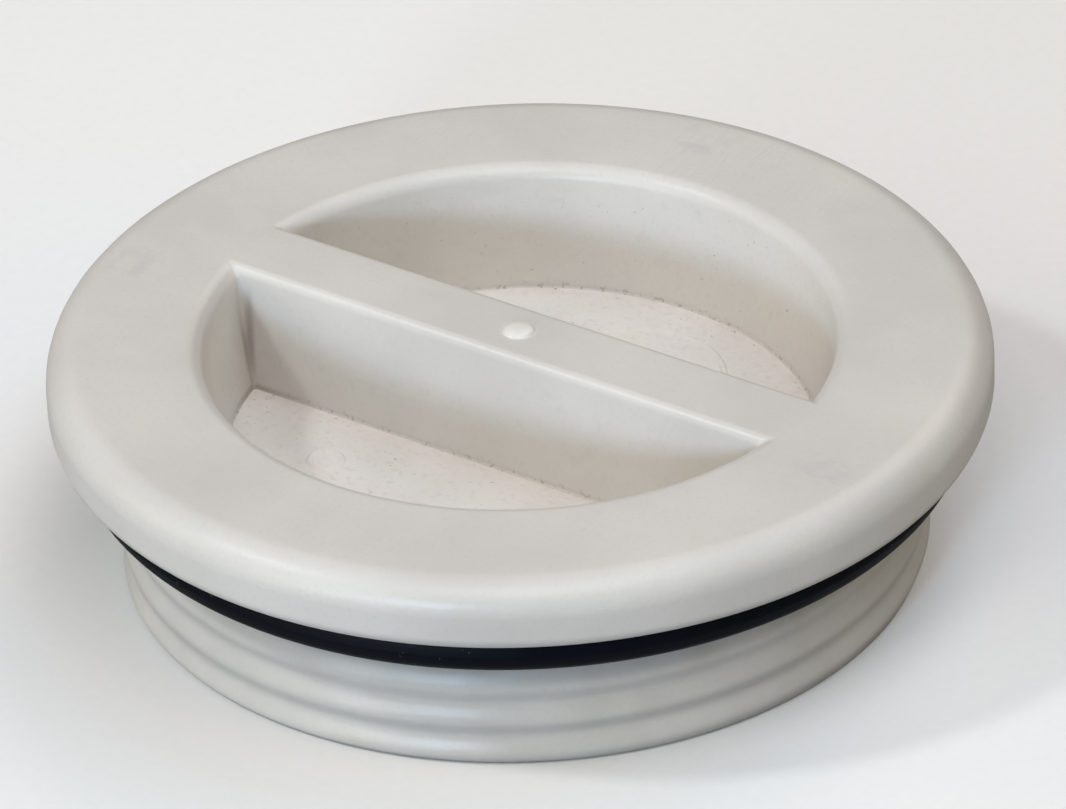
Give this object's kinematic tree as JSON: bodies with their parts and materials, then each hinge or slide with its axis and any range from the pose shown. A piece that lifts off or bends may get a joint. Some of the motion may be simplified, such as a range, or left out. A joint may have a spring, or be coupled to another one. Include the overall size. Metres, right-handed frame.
{
  "type": "deck fill cap",
  "caption": "Round screw-in deck fill cap with a wide rounded flange, D-shaped finger pockets either side of a flush grip bar, an O-ring under the flange and a coarse external thread.",
  "frame": {"origin": "centre of the skirt's bottom rim, on the thread axis", "axes": "+Z along the thread axis, from the skirt to the flange's top face; the grip bar runs along X"},
  "size_m": [0.063, 0.063, 0.0167],
  "materials": {
    "cap_plastic": "moulded off-white plastic: satin flange and bar, matte fine-grained pocket floors",
    "seal_rubber": "black nitrile rubber with a slight sheen"
  },
  "bodies": {
    "root": {"cap_body": "cap_plastic", "o_ring": "seal_rubber"}
  },
  "joints": []
}
